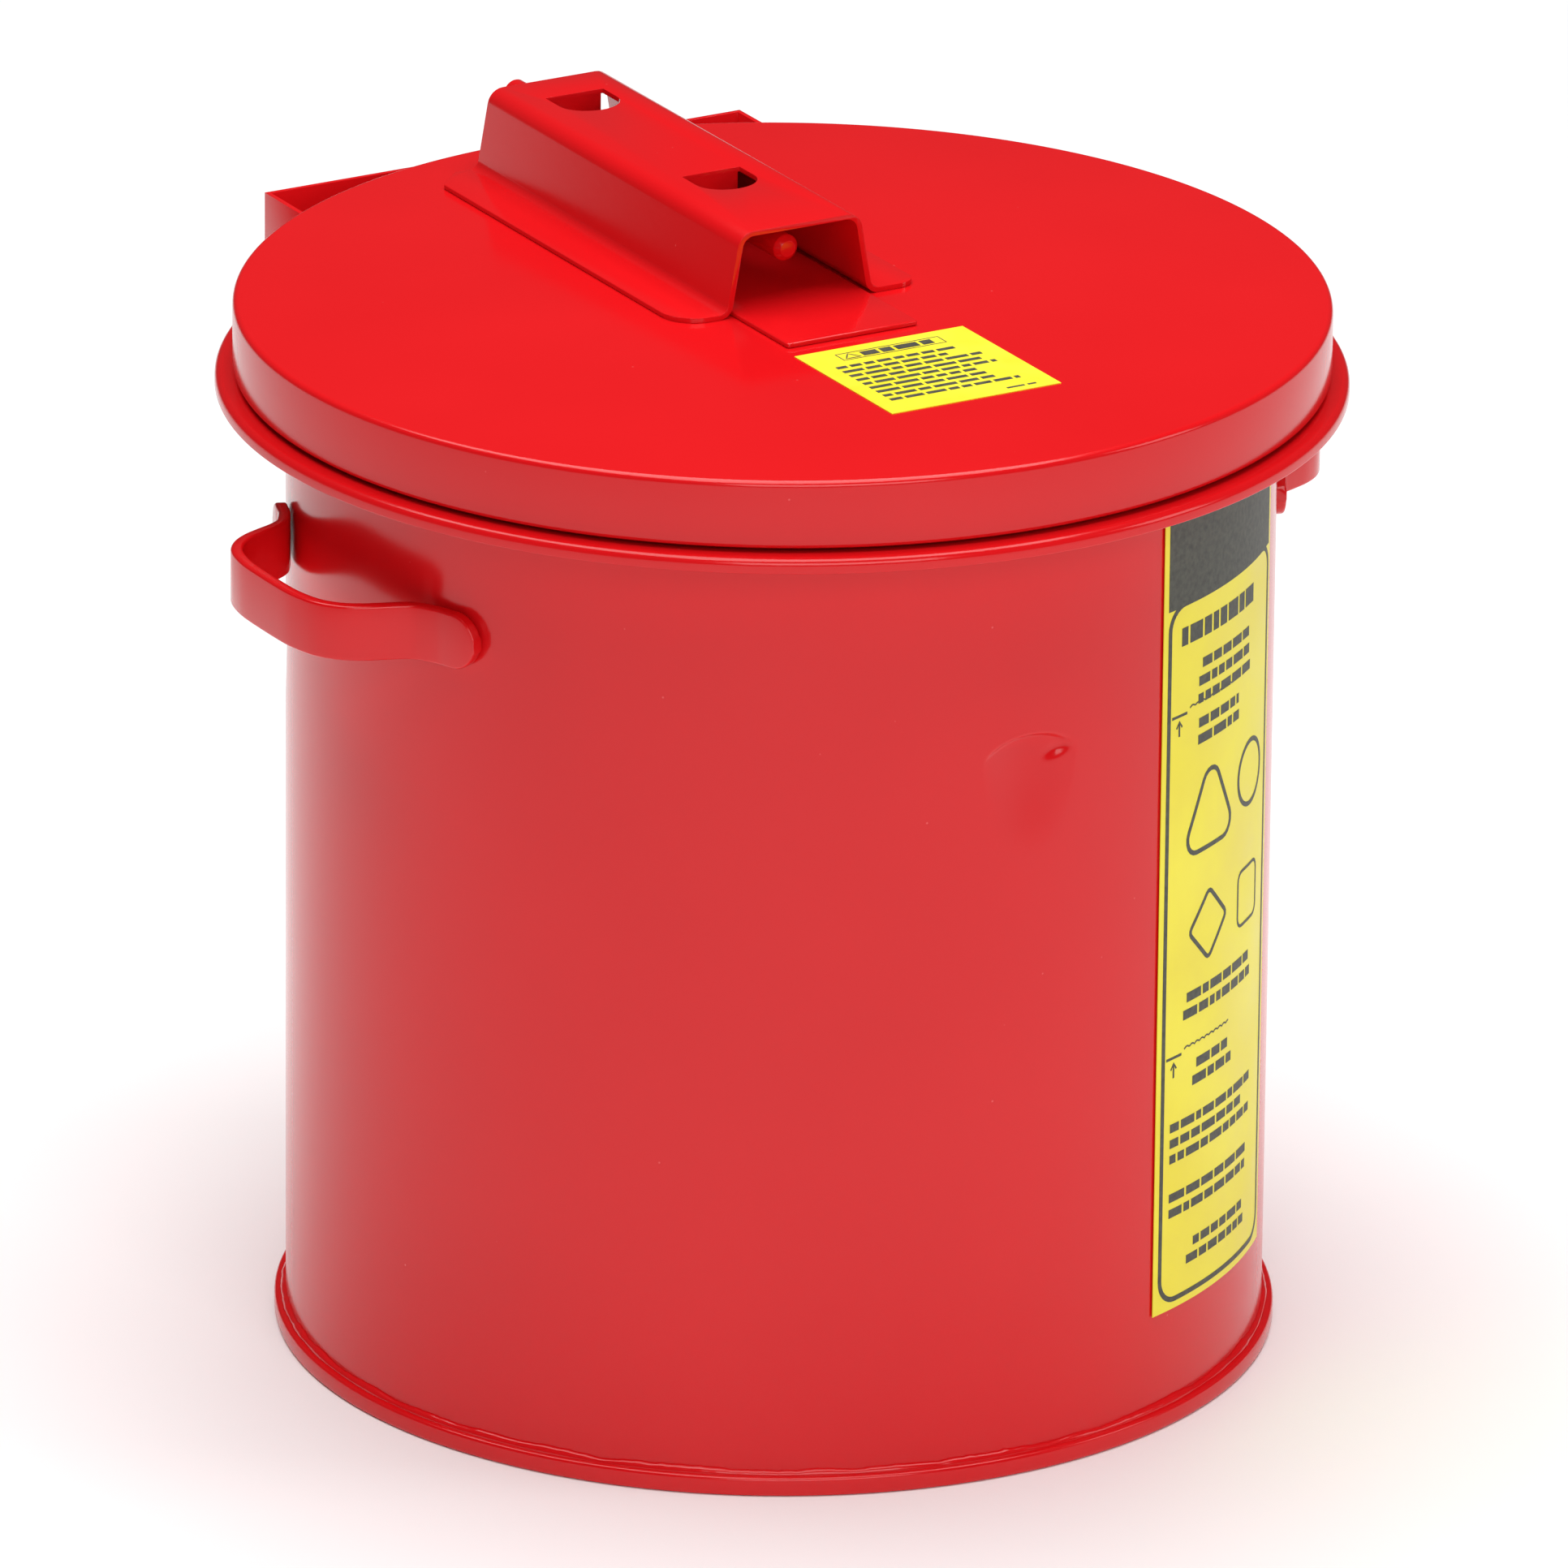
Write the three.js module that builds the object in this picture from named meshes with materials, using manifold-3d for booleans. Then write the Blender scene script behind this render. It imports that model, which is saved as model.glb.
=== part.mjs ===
// Parts washer tank: a small steel dip tank with a hinged lid, a lid rod with a fusible sleeve,
// and a lift-out drain basket. Millimetres, +Z up, front at -Y, hinge at +Y, origin on the floor.
import * as THREE from 'three';
import { mergeVertices } from 'three/addons/utils/BufferGeometryUtils.js';
import Module from 'manifold-3d';

const wasm = await Module();
wasm.setup();

// Driving dimensions
const GAP = 0.3;
const SEGMENTS = 72;
const TANK_R = 119;
const WALL_T = 0.8;
const SEAM = { r: 121.8, top: 4.8, sheet: 1.2 };
const FLOOR_Z = 8;
const FLANGE = { r: 136, top: 242.5, sheet: 0.9, lip: 238.9 };
const LID = { r: 131.7, top: 260.2, bottom: 243.5, sheet: 0.9 };
const SHEET = 1.2;
const CHANNEL = { front: -8, rear: 115, top: 281.2, topHalf: 16.5, baseHalf: 20, flangeHalf: 33 };
const HOLE = { half: 8, length: 14, rears: [102.5, 35.3] };
const ROD = { r: 3.3, z: 272.9, front: -2.2, rear: 133 };
const SLEEVE = { r: 5, front: 37.2, rear: 71 };
const HINGE = { y: 134.9, z: 252.5, knuckleR: 2.7, pinR: 1.2, centreHalf: 4.8, outerHalf: 15 };
const BRACKET = { half: 66.6, front: 95, rear: 137.6, top: 256, bottom: 228, notchHalf: 17 };
const HANDLE = { z: 206.4, height: 13.8, t: 3, out: 22.4, crown: 0.09, straight: 7.5, tipDeg: 24 };
const DIMPLE = { z: 181, half: 13, height: 15, depth: 3, angles: [-90, 30, 150] };
const BASKET = { r: 108, t: 0.8, floor: 14, rim: 97, wire: 1.8 };
const LUG = { angles: [-30, 90, 210], half: 8, bottom: 78, reach: 116.4, t: 1.2, ledgeT: 1.4 };
const FOOT = { angles: [30, 150, 270], at: 80, lowR: 5, highR: 7 };
const EAR = { x: 105.4, t: 1.4, half: 9, bottom: 83, pivotZ: 104.5 };
const RIVET = { r: 2, headR: 3.4, headT: 1.6, y: 5.5, z: 88, tail: 109.4 };
const BAIL = { r: 2.1, half: 99, rise: 58 };
const STRAP = { half: 17.9, front: -33.5, rear: 60 };
const BODY_LABEL = { from: -70.5, to: -42, bottom: 29, top: 235, t: 0.2, lift: 0.35 };
const LID_LABEL = { left: -19.4, right: 26.8, front: -85.5, rear: -39.3 };

const rad = THREE.MathUtils.degToRad;
const polar = (r, degrees, z) => [r * Math.cos(rad(degrees)), r * Math.sin(rad(degrees)), z];

const finishes = {
  enamel: { color: 0xdc2428, roughness: 0.3, metalness: 0 },
  steel: { color: 0xa8a9a8, roughness: 0.42, metalness: 1 },
  zinc: { color: 0xb4b8ba, roughness: 0.48, metalness: 1 },
  brass: { color: 0xb08a45, roughness: 0.4, metalness: 1 },
  label: { color: 0xe9de45, roughness: 0.45, metalness: 0 },
};
const materials = Object.fromEntries(
  Object.entries(finishes).map(([name, look]) => [name, new THREE.MeshStandardMaterial(look)]));

const tank = new THREE.Group();
const node = (name, finish, geometry) => {
  const mesh = new THREE.Mesh(geometry, materials[finish]);
  mesh.name = name;
  tank.add(mesh);
  return mesh;
};

// Booleans
const solid = (geometry) => {
  const bare = geometry.clone();
  bare.deleteAttribute('normal');
  bare.deleteAttribute('uv');
  const merged = mergeVertices(bare, 1e-4);
  return new wasm.Manifold(new wasm.Mesh({
    numProp: 3,
    vertProperties: new Float32Array(merged.attributes.position.array),
    triVerts: new Uint32Array(merged.index.array),
  }));
};
const shell = (manifold) => {
  const mesh = manifold.getMesh();
  const geometry = new THREE.BufferGeometry();
  geometry.setAttribute('position', new THREE.BufferAttribute(mesh.vertProperties, 3));
  geometry.setIndex(new THREE.BufferAttribute(mesh.triVerts, 1));
  return geometry;
};
const cut = (geometry, ...tools) => shell(tools.reduce((s, tool) => s.subtract(solid(tool)), solid(geometry)));
const join = (first, ...others) => shell(others.reduce((s, g) => s.add(solid(g)), solid(first)));
const keep = (geometry, tool) => shell(solid(geometry).intersect(solid(tool)));

// Shape helpers
const lathe = (profile, segments = SEGMENTS) => {
  const points = profile.map(([r, z]) => new THREE.Vector2(r, z));
  return new THREE.LatheGeometry(points, segments).rotateX(Math.PI / 2);
};
const box = (x0, x1, y0, y1, z0, z1) => new THREE.BoxGeometry(x1 - x0, y1 - y0, z1 - z0)
  .translate((x0 + x1) / 2, (y0 + y1) / 2, (z0 + z1) / 2);
const outline = (points) => new THREE.Shape(points.map(([x, y]) => new THREE.Vector2(x, y)));
const extrude = (shape, depth, curveSegments = 8) =>
  new THREE.ExtrudeGeometry(shape, { depth, bevelEnabled: false, curveSegments });
const barX = (r, x0, x1, y, z, sides = 20) => new THREE.CylinderGeometry(r, r, x1 - x0, sides)
  .rotateZ(Math.PI / 2).translate((x0 + x1) / 2, y, z);
const barY = (r, y0, y1, x, z, sides = 24) => new THREE.CylinderGeometry(r, r, y1 - y0, sides)
  .translate(x, (y0 + y1) / 2, z);
const barZ = (r, z0, z1, x, y, sides = 24) => new THREE.CylinderGeometry(r, r, z1 - z0, sides)
  .rotateX(Math.PI / 2).translate(x, y, (z0 + z1) / 2);

// A closed sheet from a grid of points on an inner and an outer surface; wraps when closed is true.
const gridSheet = (angles, heights, outer, inner, closed) => {
  const positions = [];
  for (const surface of [outer, inner])
    for (const z of heights)
      for (const a of angles) positions.push(...polar(surface(a, z), a, z));
  const columns = angles.length;
  const rows = heights.length;
  const at = (side, row, column) => (side * rows + row) * columns + (column % columns);
  const index = [];
  const quad = (a, b, c, d) => index.push(a, b, c, a, c, d);
  const spans = closed ? columns : columns - 1;
  for (let row = 0; row < rows - 1; row++)
    for (let c = 0; c < spans; c++) {
      quad(at(0, row, c), at(0, row, c + 1), at(0, row + 1, c + 1), at(0, row + 1, c));
      quad(at(1, row, c + 1), at(1, row, c), at(1, row + 1, c), at(1, row + 1, c + 1));
    }
  for (let c = 0; c < spans; c++) {
    quad(at(1, 0, c), at(1, 0, c + 1), at(0, 0, c + 1), at(0, 0, c));
    quad(at(0, rows - 1, c), at(0, rows - 1, c + 1), at(1, rows - 1, c + 1), at(1, rows - 1, c));
  }
  if (!closed)
    for (let row = 0; row < rows - 1; row++) {
      quad(at(1, row, 0), at(0, row, 0), at(0, row + 1, 0), at(1, row + 1, 0));
      const last = columns - 1;
      quad(at(0, row, last), at(1, row, last), at(1, row + 1, last), at(0, row + 1, last));
    }
  const geometry = new THREE.BufferGeometry();
  geometry.setAttribute('position', new THREE.Float32BufferAttribute(positions, 3));
  geometry.setIndex(index);
  return geometry;
};

// Tank wall: a rolled cylinder with three pressed-in basket rests
const dimpleDepth = (angle, z) => {
  let depth = 0;
  for (const centre of DIMPLE.angles) {
    const across = (((angle - centre + 540) % 360) - 180) * rad(1) * TANK_R / DIMPLE.half;
    const up = (z - DIMPLE.z) / (DIMPLE.height / 2);
    const reach = 1 - across * across - up * up * (up > 0 ? 0.85 : 1);
    if (reach > 0) depth = Math.max(depth, DIMPLE.depth * Math.min(1, reach * 1.6));
  }
  return depth;
};
const wallAngles = [];
for (let a = -90; a < 270; a += 360 / SEGMENTS) wallAngles.push(a);
for (const centre of DIMPLE.angles)
  for (const step of [-6.5, -3.5, -1.8, 1.8, 3.5, 6.5]) wallAngles.push(((centre + step + 450) % 360) - 90);
wallAngles.sort((a, b) => a - b);
const wallHeights = [SEAM.sheet + GAP, 172, 176, 181, 185, 188, 190, FLANGE.top - FLANGE.sheet - GAP];
node('tank_wall', 'enamel', gridSheet(wallAngles, wallHeights,
  (a, z) => TANK_R - dimpleDepth(a, z), (a, z) => TANK_R - WALL_T - dimpleDepth(a, z), true));

// Bottom pan: recessed floor with a folded seam that grips the wall
const panR = TANK_R - WALL_T - GAP;
node('bottom_pan', 'enamel', lathe([
  [0, FLOOR_Z - WALL_T], [panR - SHEET, FLOOR_Z - WALL_T], [panR - SHEET, 0], [SEAM.r - 0.5, 0],
  [SEAM.r, 0.5], [SEAM.r, SEAM.top - 0.5], [SEAM.r - 0.5, SEAM.top], [TANK_R + GAP, SEAM.top],
  [TANK_R + GAP, SEAM.sheet], [panR, SEAM.sheet], [panR, FLOOR_Z], [0, FLOOR_Z],
]));

// Rim flange: flat ring with a turned-down rounded edge
const flangeUnder = FLANGE.top - FLANGE.sheet;
node('rim_flange', 'enamel', lathe([
  [TANK_R - WALL_T, flangeUnder], [FLANGE.r - 1.9, flangeUnder], [FLANGE.r - FLANGE.sheet, flangeUnder - 0.9],
  [FLANGE.r - FLANGE.sheet, FLANGE.lip], [FLANGE.r, FLANGE.lip], [FLANGE.r, FLANGE.top - 1.6],
  [FLANGE.r - 0.5, FLANGE.top - 0.5], [FLANGE.r - 1.6, FLANGE.top], [TANK_R - WALL_T, FLANGE.top],
  [TANK_R - WALL_T, flangeUnder],
]));

// Carrying handles: strap bows with rounded feet against the wall
const handlePlan = () => {
  const bowX = TANK_R + HANDLE.out - HANDLE.t / 2 - HANDLE.crown;
  const footR = TANK_R + GAP + 0.2 + HANDLE.t / 2;
  const foot = [HANDLE.tipDeg, 22.2, 20.4, 18.7].map((angle) => polar(footR, angle, 0));
  const bend = [[116.5, 35.5], [118.5, 32.9], [121.7, 31], [125.7, 29.5], [130.2, 27.6], [134.3, 24.7],
    [bowX - 2.4, 20.4], [bowX - 0.7, 14.5], [bowX, HANDLE.straight]];
  const half = [...foot, ...bend].map(([x, y]) => new THREE.Vector3(x, y, 0));
  const knots = [...half, ...half.slice().reverse().map((p) => new THREE.Vector3(p.x, -p.y, 0))];
  const line = new THREE.CatmullRomCurve3(knots, false, 'catmullrom').getPoints(3 * (knots.length - 1));
  const side = (offset) => line.map((p, i) => {
    const ahead = line[Math.min(i + 1, line.length - 1)].clone().sub(line[Math.max(i - 1, 0)]).normalize();
    return new THREE.Vector2(p.x - ahead.y * offset, p.y + ahead.x * offset);
  });
  return [...side(HANDLE.t / 2), ...side(-HANDLE.t / 2).reverse()];
};
const handleFront = () => {
  const tip = (TANK_R + 2) * Math.sin(rad(HANDLE.tipDeg));
  const h = HANDLE.height / 2;
  const face = new THREE.Shape();
  face.absarc(tip - h, 0, h, -Math.PI / 2, Math.PI / 2, false);
  face.absarc(h - tip, 0, h, Math.PI / 2, 1.5 * Math.PI, false);
  return extrude(face, 60, 6).rotateX(Math.PI / 2).rotateZ(Math.PI / 2).translate(100, 0, HANDLE.z);
};
const handle = (name, turn) => {
  const strap = extrude(new THREE.Shape(handlePlan()), HANDLE.height)
    .translate(0, 0, HANDLE.z - HANDLE.height / 2);
  node(name, 'enamel', keep(strap, handleFront()).rotateZ(turn));
};
handle('handle_right', 0);
handle('handle_left', Math.PI);

// Rear bracket: back plate with two arms that reach under the flange to the wall
const bracketBase = () => {
  const B = BRACKET;
  const outer = box(-B.half, B.half, B.front, B.rear, B.bottom, B.top);
  const inner = box(-B.half + SHEET, B.half - SHEET, B.front - 5, B.rear - SHEET, B.bottom - 5, B.top + 5);
  const tankSpace = barZ(TANK_R + 0.5, B.bottom - 5, B.top + 5, 0, 0, SEGMENTS);
  const flangeSpace = barZ(FLANGE.r + 0.5, FLANGE.lip - 0.5, B.top + 5, 0, 0, SEGMENTS);
  const notch = box(-B.notchHalf, B.notchHalf, B.rear - 5, B.rear + 5, HINGE.z - 1.5, B.top + 5);
  const knuckles = barX(HINGE.knuckleR, -HINGE.outerHalf, HINGE.outerHalf, HINGE.y, HINGE.z);
  const roots = box(-HINGE.outerHalf, HINGE.outerHalf, B.rear - SHEET, B.rear, HINGE.z - 4, HINGE.z);
  const centre = box(-HINGE.centreHalf - GAP, HINGE.centreHalf + GAP, 120, 145, HINGE.z - 4, B.top + 5);
  const bore = barX(HINGE.pinR + GAP, -20, 20, HINGE.y, HINGE.z);
  return cut(join(cut(outer, inner, tankSpace, flangeSpace, notch), knuckles, roots), centre, bore);
};
node('hinge_bracket', 'enamel', bracketBase());
node('hinge_pin', 'steel', join(
  barX(HINGE.pinR, -HINGE.outerHalf - 0.4, HINGE.outerHalf + 0.4, HINGE.y, HINGE.z),
  barX(2, HINGE.outerHalf + GAP, HINGE.outerHalf + 1.3, HINGE.y, HINGE.z),
  barX(2, -HINGE.outerHalf - 1.3, -HINGE.outerHalf - GAP, HINGE.y, HINGE.z)));

const curvedLabel = (from, to, z0, z1) => {
  const angles = [from];
  const step = 360 / SEGMENTS;
  for (let a = Math.ceil(from / step) * step; a < to; a += step) angles.push(a);
  angles.push(to);
  const back = TANK_R + BODY_LABEL.lift;
  return gridSheet(angles, [z0, z1], () => back + BODY_LABEL.t, () => back, false);
};
node('body_label', 'label',
  curvedLabel(BODY_LABEL.from, BODY_LABEL.to, BODY_LABEL.bottom, BODY_LABEL.top));

// Lid: flat top, rounded edge, skirt and inward hem
node('lid_cover', 'enamel', lathe([
  [0, LID.top - LID.sheet], [LID.r - 1.9, LID.top - LID.sheet], [LID.r - LID.sheet, LID.top - 1.8],
  [LID.r - LID.sheet, LID.bottom + 3.2], [LID.r - 1.9, LID.bottom + 2.8], [LID.r - 2.3, LID.bottom + 1.4],
  [LID.r - 1.9, LID.bottom + 0.3], [LID.r - 1.1, LID.bottom], [LID.r - 0.3, LID.bottom + 0.5],
  [LID.r, LID.bottom + 1.5], [LID.r, LID.top - 1.3], [LID.r - 0.4, LID.top - 0.4],
  [LID.r - 1.3, LID.top], [0, LID.top],
]));

// Channel: hat section with two lanced guide tabs
const lidFace = LID.top + GAP;
const channelSection = () => {
  const { topHalf, baseHalf, flangeHalf, top } = CHANNEL;
  const right = [[flangeHalf, lidFace], [flangeHalf, lidFace + SHEET], [baseHalf + 1.5, lidFace + SHEET],
    [baseHalf - 0.3, lidFace + SHEET + 1.6], [topHalf + 0.3, top - 3.2], [topHalf - 0.9, top - 1],
    [topHalf - 3.2, top]];
  const inside = [[topHalf - 3.4, top - SHEET], [topHalf - 1.6, top - SHEET - 0.8],
    [topHalf - 0.9, top - 3.4], [baseHalf - 1.5, lidFace]];
  const mirror = (points) => points.slice().reverse().map(([x, z]) => [-x, z]);
  return outline([...right, ...mirror(right), ...mirror(inside), ...inside]);
};
const lanceHole = (rear) => {
  const arc = new THREE.Shape();
  arc.moveTo(-HOLE.half, rear);
  arc.lineTo(-HOLE.half, rear - HOLE.length + 7);
  arc.absellipse(0, rear - HOLE.length + 7, HOLE.half, 7, Math.PI, 2 * Math.PI, false);
  arc.lineTo(HOLE.half, rear);
  return extrude(arc, 10, 8).translate(0, 0, CHANNEL.top - 5);
};
const lanceTab = (rear) => {
  const tab = new THREE.Shape();
  const half = HOLE.half - 0.5;
  tab.moveTo(-half, 0);
  tab.lineTo(-half, -8.2);
  tab.absellipse(0, -8.2, half, 6.6, Math.PI, 2 * Math.PI, false);
  tab.lineTo(half, 0);
  return extrude(tab, SHEET, 8).rotateX(Math.PI / 2).translate(0, rear + SHEET, CHANNEL.top - 0.1);
};
const channelEnds = () => {
  const { front, rear, flangeHalf } = CHANNEL;
  const plan = new THREE.Shape();
  plan.moveTo(-flangeHalf, front + 9);
  plan.absarc(-flangeHalf + 9, front + 9, 9, Math.PI, 1.5 * Math.PI, false);
  plan.lineTo(flangeHalf - 5, front);
  plan.absarc(flangeHalf - 5, front + 5, 5, -Math.PI / 2, 0, false);
  plan.lineTo(flangeHalf, rear - 7);
  plan.lineTo(flangeHalf - 7, rear);
  plan.lineTo(-flangeHalf + 7, rear);
  plan.lineTo(-flangeHalf, rear - 7);
  return extrude(plan, 40, 5).translate(0, 0, LID.top - 5);
};
const channelBar = extrude(channelSection(), CHANNEL.rear - CHANNEL.front)
  .rotateX(Math.PI / 2).translate(0, CHANNEL.rear, 0);
const rodWay = barY(ROD.r + GAP, CHANNEL.front - 5, CHANNEL.rear + 5, 0, ROD.z);
node('lid_channel', 'enamel', cut(join(
  cut(keep(channelBar, channelEnds()), ...HOLE.rears.map(lanceHole)), ...HOLE.rears.map(lanceTab)), rodWay));

// Stiffening strap under the channel
node('lid_strap', 'enamel', box(-STRAP.half, STRAP.half, STRAP.front, STRAP.rear, lidFace, lidFace + SHEET));
node('lid_label', 'label', box(LID_LABEL.left, LID_LABEL.right, LID_LABEL.front, LID_LABEL.rear,
  lidFace, lidFace + BODY_LABEL.t));

// Lid leaf of the hinge: centre knuckle on a plate behind the skirt
const leafFront = HINGE.y - HINGE.knuckleR;
node('hinge_leaf', 'enamel', cut(join(
  barX(HINGE.knuckleR, -HINGE.centreHalf, HINGE.centreHalf, HINGE.y, HINGE.z),
  box(-HINGE.centreHalf, HINGE.centreHalf, leafFront, leafFront + SHEET, LID.bottom + 3, HINGE.z),
  box(-12, 12, leafFront, leafFront + SHEET, LID.bottom + 1.5, HINGE.z - HINGE.knuckleR - 0.6)),
  barX(HINGE.pinR + GAP, -20, 20, HINGE.y, HINGE.z)));

// Lid rod in two halves, held together by a fusible sleeve that also stops its travel
const rodJoint = (SLEEVE.front + SLEEVE.rear) / 2;
const rodEnd = (tip, start) => {
  const chamfer = 1.3;
  const length = Math.abs(start - tip);
  const toward = Math.sign(tip - start);
  const profile = [[0, 0], [ROD.r, 0], [ROD.r, length - chamfer], [ROD.r - chamfer, length], [0, length]];
  const bar = new THREE.LatheGeometry(profile.map(([r, y]) => new THREE.Vector2(r, y)), 24);
  return (toward > 0 ? bar : bar.rotateX(Math.PI)).translate(0, start, ROD.z);
};
node('slide_rod_front', 'enamel', rodEnd(ROD.front, rodJoint - 1));
node('slide_rod_rear', 'enamel', rodEnd(ROD.rear, rodJoint + 1));
node('fusible_sleeve', 'brass', cut(barY(SLEEVE.r, SLEEVE.front, SLEEVE.rear, 0, ROD.z),
  barY(ROD.r + GAP, SLEEVE.front - 5, SLEEVE.rear + 5, 0, ROD.z)));

// Drain basket
const innerR = BASKET.r - BASKET.t;
const rivetPlaces = [];
for (const side of [1, -1]) for (const y of [-RIVET.y, RIVET.y]) rivetPlaces.push([side, y]);
const rivetHole = ([side, y]) =>
  barX(RIVET.r + GAP, side * EAR.x - 10, side * EAR.x + 10, y, RIVET.z, 12);
node('drain_basket', 'zinc', cut(lathe([
  [0, BASKET.floor], [BASKET.r - 2, BASKET.floor], [BASKET.r, BASKET.floor + 2], [BASKET.r, BASKET.rim],
  [innerR, BASKET.rim], [innerR, BASKET.floor + 2.6], [innerR - 1.6, BASKET.floor + BASKET.t],
  [0, BASKET.floor + BASKET.t],
]), ...rivetPlaces.map(rivetHole)));
const rimR = BASKET.r + GAP + BASKET.wire;
const rimZ = BASKET.rim - BASKET.wire;
const rimProfile = [];
for (let i = 0; i <= 8; i++) {
  const a = -i * Math.PI / 4;
  rimProfile.push([rimR + BASKET.wire * Math.cos(-a), rimZ + BASKET.wire * Math.sin(-a)]);
}
node('basket_rim', 'zinc', lathe(rimProfile));
const lugR = BASKET.r + GAP + 0.1;
const lugTop = rimZ - BASKET.wire - GAP;
LUG.angles.forEach((angle, i) => node(`basket_lug_${i + 1}`, 'zinc', join(
  box(lugR, lugR + LUG.t, -LUG.half, LUG.half, LUG.bottom, lugTop),
  box(lugR, LUG.reach, -LUG.half, LUG.half, lugTop - LUG.ledgeT, lugTop)).rotateZ(rad(angle))));
FOOT.angles.forEach((angle, i) => node(`basket_foot_${i + 1}`, 'zinc', lathe([
  [0, FLOOR_Z + GAP], [FOOT.lowR, FLOOR_Z + GAP], [FOOT.highR, BASKET.floor - GAP],
  [0, BASKET.floor - GAP]], 16).translate(...polar(FOOT.at, angle, 0))));

// Bail ears inside the basket wall, with a ledge that stops the bail when it is folded
const ear = (name, side) => {
  const across = (a, b) => [Math.min(side * a, side * b), Math.max(side * a, side * b)];
  const inside = EAR.x - EAR.t;
  const plate = box(...across(inside, EAR.x), -EAR.half, EAR.half, EAR.bottom, EAR.pivotZ + 6);
  const ledge = box(...across(inside - 4, inside + 0.1), -EAR.half, -RIVET.y,
    EAR.pivotZ - 4.6, EAR.pivotZ - BAIL.r - GAP);
  const bores = across(inside - 5, EAR.x + 5);
  const holes = [-RIVET.y, RIVET.y].map((y) => barX(RIVET.r + GAP, ...bores, y, RIVET.z, 12));
  node(name, 'zinc', cut(join(plate, ledge), ...holes, barX(BAIL.r + GAP, ...bores, 0, EAR.pivotZ)));
};
ear('bail_ear_right', 1);
ear('bail_ear_left', -1);
rivetPlaces.forEach(([side, y], i) => {
  const inner = EAR.x - EAR.t - GAP;
  const span = (a, b) => [Math.min(side * a, side * b), Math.max(side * a, side * b)];
  node(`ear_rivet_${i + 1}`, 'steel', join(
    barX(RIVET.r, ...span(inner - RIVET.headT, RIVET.tail), y, RIVET.z, 12),
    barX(RIVET.headR, ...span(inner - RIVET.headT, inner), y, RIVET.z, 12)));
});

// Bail: a wire arch folded forward, its ends turned out through the ears
const bailPath = new THREE.CatmullRomCurve3([
  new THREE.Vector3(-108, 0, EAR.pivotZ), new THREE.Vector3(-103, 0, EAR.pivotZ),
  ...Array.from({ length: 15 }, (_, i) => {
    const a = Math.PI + Math.PI * (i + 0.6) / 15.2;
    return new THREE.Vector3(BAIL.half * Math.cos(a), BAIL.rise * Math.sin(a), EAR.pivotZ);
  }),
  new THREE.Vector3(103, 0, EAR.pivotZ), new THREE.Vector3(108, 0, EAR.pivotZ)], false, 'centripetal');
const wireSection = new THREE.Shape().absarc(0, 0, BAIL.r, 0, 2 * Math.PI, false);
node('bail_handle', 'steel', new THREE.ExtrudeGeometry(wireSection,
  { steps: 52, extrudePath: bailPath, curveSegments: 5 }));

export default tank;
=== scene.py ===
"""Parts washer tank: red enamelled steel dip tank with hinged lid and drain basket."""
import math
import random

import bmesh
import bpy
from mathutils import Matrix, Vector


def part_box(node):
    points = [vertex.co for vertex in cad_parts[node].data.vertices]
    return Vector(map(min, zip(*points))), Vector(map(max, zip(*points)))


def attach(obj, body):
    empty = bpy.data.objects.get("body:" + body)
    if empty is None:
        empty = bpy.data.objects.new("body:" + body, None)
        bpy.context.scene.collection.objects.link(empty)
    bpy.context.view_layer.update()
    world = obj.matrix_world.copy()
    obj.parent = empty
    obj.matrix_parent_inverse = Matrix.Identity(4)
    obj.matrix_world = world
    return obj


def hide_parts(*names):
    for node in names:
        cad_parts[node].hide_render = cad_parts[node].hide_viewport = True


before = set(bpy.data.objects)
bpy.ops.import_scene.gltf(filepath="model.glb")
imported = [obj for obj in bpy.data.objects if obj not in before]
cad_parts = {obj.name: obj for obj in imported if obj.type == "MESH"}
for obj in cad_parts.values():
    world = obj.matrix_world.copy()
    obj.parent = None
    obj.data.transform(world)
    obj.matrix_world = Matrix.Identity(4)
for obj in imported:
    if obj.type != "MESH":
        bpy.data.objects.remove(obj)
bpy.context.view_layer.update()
MM = 0.001
random.seed(7)


# ---------------------------------------------------------------- sizes in mm
def node_mm(name):
    """The low and high corners of a CAD node's box."""
    low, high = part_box(name)
    return [v / MM for v in low], [v / MM for v in high]


WALL_LOW, WALL_HIGH = node_mm("tank_wall")
PAN_LOW, PAN_HIGH = node_mm("bottom_pan")
FLANGE_LOW, FLANGE_HIGH = node_mm("rim_flange")
LID_LOW, LID_HIGH = node_mm("lid_cover")
CHANNEL_LOW, CHANNEL_HIGH = node_mm("lid_channel")
BASKET_LOW, BASKET_HIGH = node_mm("drain_basket")
ROD_FRONT_LOW, ROD_FRONT_HIGH = node_mm("slide_rod_front")
ROD_REAR_LOW, ROD_REAR_HIGH = node_mm("slide_rod_rear")
SLEEVE_LOW, SLEEVE_HIGH = node_mm("fusible_sleeve")

TANK_R = WALL_HIGH[0]
WALL_T = 0.8
GAP = 0.3
SEAM_TOP = 4.8
FLANGE_R = FLANGE_HIGH[0]
LID_R = LID_HIGH[0]
LID_TOP = LID_HIGH[2]
SHEET = 1.2
RIM_SHEET = 0.9
LID_GAP = 0.05  # how far the channel and strap stand off the lid
ROD_R = ROD_FRONT_HIGH[0]
ROD_Z = (ROD_FRONT_LOW[2] + ROD_FRONT_HIGH[2]) / 2
LABEL_R = TANK_R + 0.35
LABEL_T = 0.2
LABEL_FROM, LABEL_TO = -70.5, -42.0
PRINT_T = 0.06
DIMPLES = (-90, 30, 150)
DIMPLE = {"z": 180, "half": 13.5, "rise": 7.5, "step": 1.4, "reach": 30, "depth": 2.6}
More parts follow.
